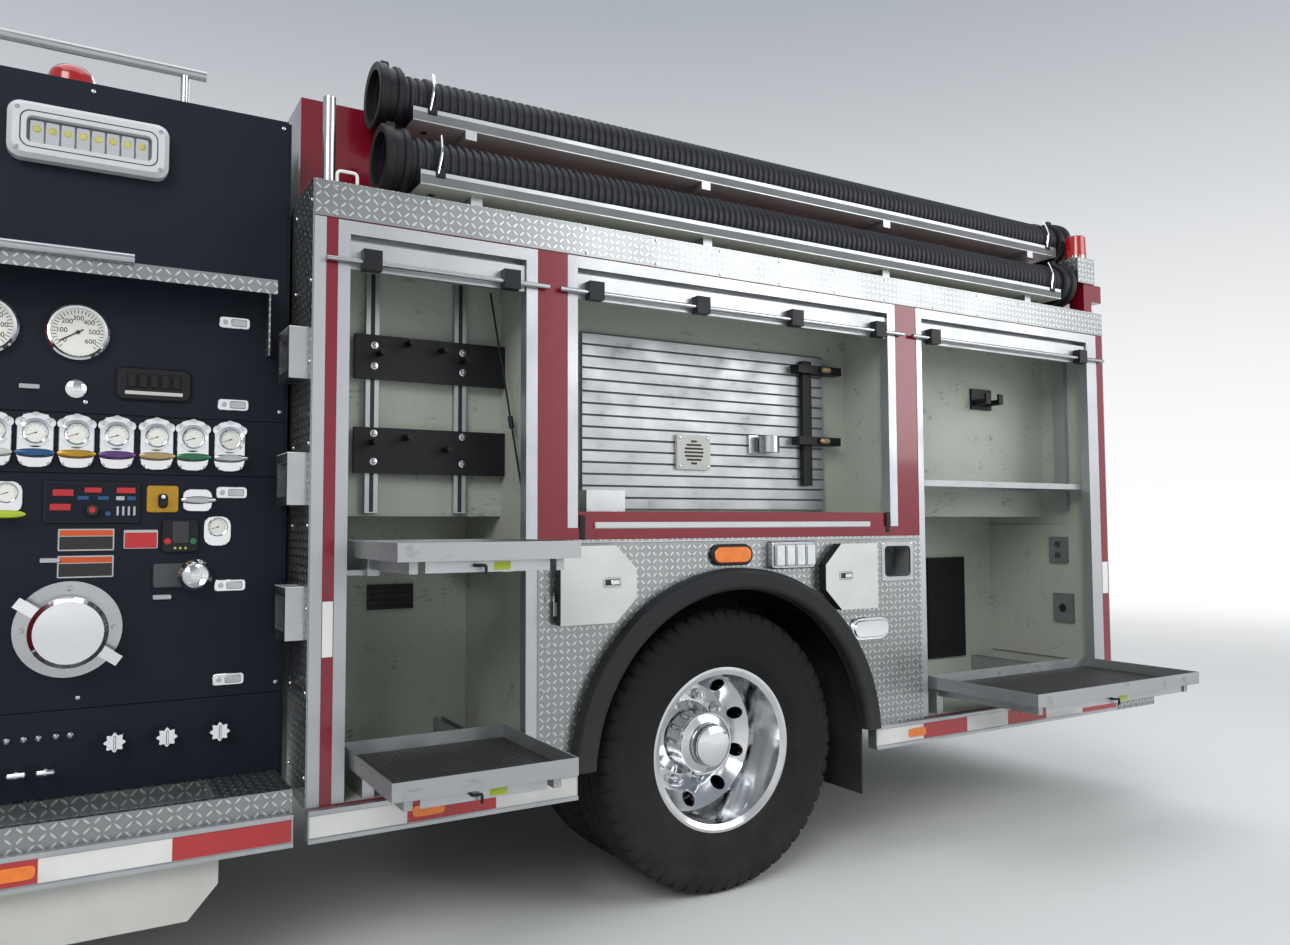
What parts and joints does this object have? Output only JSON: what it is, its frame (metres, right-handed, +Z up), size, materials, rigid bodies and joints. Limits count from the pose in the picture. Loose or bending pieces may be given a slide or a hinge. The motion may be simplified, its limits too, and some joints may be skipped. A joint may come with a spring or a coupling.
{
  "type": "pumper fire truck",
  "caption": "Pumper fire truck with crew cab, pump panels, open lockers with slide-out trays, hose bed, suction hoses and twin rear wheels.",
  "frame": {"origin": "on the ground, under the middle of the truck's length and width", "axes": "-X forwards, -Y to the truck's left, +Z up"},
  "size_m": [9.134, 3.52, 2.89],
  "materials": {
    "frame_steel": "black chassis paint",
    "cast_metal": "painted castings",
    "pipe_steel": "heat-dulled steel",
    "tank_metal": "mill finish",
    "bright_steel": "polished stainless",
    "red_paint": "gloss deep red",
    "window_glass": "clear",
    "chrome_trim": "polished",
    "seat_vinyl": "dark grey vinyl",
    "dash_plastic": "textured",
    "body_metal": "satin",
    "panel_black": "fine black texture",
    "tread_plate": "bright diamond plate",
    "polished_rail": "polished",
    "lamp_lens": "clear and red lenses",
    "track_aluminium": "satin anodised",
    "liner_plastic": "black moulded",
    "black_rubber": "moulded black",
    "hose_rubber": "ribbed dark grey",
    "ladder_aluminium": "mill finish",
    "tyre_rubber": "black rubber",
    "wheel_aluminium": "polished",
    "tray_aluminium": "scuffed mill finish"
  },
  "bodies": {
    "chassis": {"chassis_frame": "frame_steel", "front_axle": "frame_steel", "rear_axle": "frame_steel", "leaf_springs": "frame_steel", "powertrain": "cast_metal", "exhaust": "pipe_steel", "fuel_tank": "tank_metal", "bumper": "bright_steel", "cab_shell": "red_paint", "cab_glass": "window_glass", "cab_front": "chrome_trim", "cab_seats": "seat_vinyl", "dashboard": "dash_plastic", "pump_module": "body_metal", "pump_panels": "panel_black", "pump_controls": "chrome_trim", "pump_inlets": "chrome_trim", "step_boards": "tread_plate", "handrails": "polished_rail", "lamps": "lamp_lens", "body_center": "tread_plate", "side_body_left": "red_paint", "side_body_right": "red_paint", "door_frames": "track_aluminium", "rolled_doors": "track_aluminium", "tread_trim": "tread_plate", "bottle_tubes": "liner_plastic", "fenders": "black_rubber", "rub_rails": "track_aluminium", "tray_slides": "track_aluminium", "hose_bed": "red_paint", "locker_fittings": "track_aluminium", "hose_trays": "track_aluminium", "suction_hoses": "hose_rubber", "ladders": "ladder_aluminium"},
    "knuckle_left": {"knuckle_left": "frame_steel"},
    "front_wheel_left": {"tyre_front_left": "tyre_rubber", "rim_front_left": "wheel_aluminium"},
    "rear_wheels_left": {"tyres_rear_left": "tyre_rubber", "rims_rear_left": "wheel_aluminium"},
    "cab_door_front_left": {"door_front_left": "red_paint"},
    "cab_door_rear_left": {"door_rear_left": "red_paint"},
    "tray_rear_left": {"tray_rear_left": "tray_aluminium"},
    "tray_front_left": {"tray_front_left": "tray_aluminium"},
    "tray_upper_left": {"tray_upper_left": "tray_aluminium"},
    "knuckle_right": {"knuckle_right": "frame_steel"},
    "front_wheel_right": {"tyre_front_right": "tyre_rubber", "rim_front_right": "wheel_aluminium"},
    "rear_wheels_right": {"tyres_rear_right": "tyre_rubber", "rims_rear_right": "wheel_aluminium"},
    "cab_door_front_right": {"door_front_right": "red_paint"},
    "cab_door_rear_right": {"door_rear_right": "red_paint"},
    "tray_rear_right": {"tray_rear_right": "tray_aluminium"},
    "tray_front_right": {"tray_front_right": "tray_aluminium"},
    "tray_upper_right": {"tray_upper_right": "tray_aluminium"},
    "well_door_front": {"well_door_front": "tread_plate"},
    "well_door_rear": {"well_door_rear": "tread_plate"}
  },
  "joints": [
    {"name": "steer_left", "type": "hinge", "parent": "chassis", "child": "knuckle_left", "pos_m": [-2.733, -0.88, 0.515], "axis": [0, 0, 1], "range_deg": [-38, 38]},
    {"name": "front_wheel_left_spin", "type": "hinge", "parent": "knuckle_left", "child": "front_wheel_left", "pos_m": [-2.733, -1, 0.515], "axis": [0, 1, 0], "continuous": true},
    {"name": "rear_wheels_left_spin", "type": "hinge", "parent": "chassis", "child": "rear_wheels_left", "pos_m": [2.017, -0.915, 0.515], "axis": [0, 1, 0], "continuous": true},
    {"name": "cab_door_front_left_hinge", "type": "hinge", "parent": "chassis", "child": "cab_door_front_left", "pos_m": [-3.93, -1.231, 1.5], "axis": [0, 0, -1], "range_deg": [0, 70]},
    {"name": "cab_door_rear_left_hinge", "type": "hinge", "parent": "chassis", "child": "cab_door_rear_left", "pos_m": [-2.16, -1.231, 1.5], "axis": [0, 0, -1], "range_deg": [0, 70]},
    {"name": "tray_rear_left_slide", "type": "slide", "parent": "chassis", "child": "tray_rear_left", "axis": [0, 1, 0], "range_m": [0, 0.525]},
    {"name": "tray_front_left_slide", "type": "slide", "parent": "chassis", "child": "tray_front_left", "axis": [0, 1, 0], "range_m": [0, 0.415]},
    {"name": "tray_upper_left_slide", "type": "slide", "parent": "chassis", "child": "tray_upper_left", "axis": [0, 1, 0], "range_m": [0, 0.415]},
    {"name": "steer_right", "type": "hinge", "parent": "chassis", "child": "knuckle_right", "pos_m": [-2.733, 0.88, 0.515], "axis": [0, 0, 1], "range_deg": [-38, 38]},
    {"name": "front_wheel_right_spin", "type": "hinge", "parent": "knuckle_right", "child": "front_wheel_right", "pos_m": [-2.733, 1, 0.515], "axis": [0, 1, 0], "continuous": true},
    {"name": "rear_wheels_right_spin", "type": "hinge", "parent": "chassis", "child": "rear_wheels_right", "pos_m": [2.017, 0.915, 0.515], "axis": [0, 1, 0], "continuous": true},
    {"name": "cab_door_front_right_hinge", "type": "hinge", "parent": "chassis", "child": "cab_door_front_right", "pos_m": [-3.93, 1.231, 1.5], "axis": [0, 0, 1], "range_deg": [0, 70]},
    {"name": "cab_door_rear_right_hinge", "type": "hinge", "parent": "chassis", "child": "cab_door_rear_right", "pos_m": [-2.16, 1.231, 1.5], "axis": [0, 0, 1], "range_deg": [0, 70]},
    {"name": "tray_rear_right_slide", "type": "slide", "parent": "chassis", "child": "tray_rear_right", "axis": [0, -1, 0], "range_m": [0, 0.525]},
    {"name": "tray_front_right_slide", "type": "slide", "parent": "chassis", "child": "tray_front_right", "axis": [0, -1, 0], "range_m": [0, 0.415]},
    {"name": "tray_upper_right_slide", "type": "slide", "parent": "chassis", "child": "tray_upper_right", "axis": [0, -1, 0], "range_m": [0, 0.415]},
    {"name": "well_door_front_hinge", "type": "hinge", "parent": "chassis", "child": "well_door_front", "pos_m": [1.3017, -1.2543, 1.14], "axis": [0, 0, -1], "range_deg": [0, 95]},
    {"name": "well_door_rear_hinge", "type": "hinge", "parent": "chassis", "child": "well_door_rear", "pos_m": [2.7103, -1.2543, 1.14], "axis": [0, 0, 1], "range_deg": [0, 95]}
  ],
  "couplings": [
    {"joint": "steer_right", "follows": "steer_left", "ratio": 1}
  ]
}
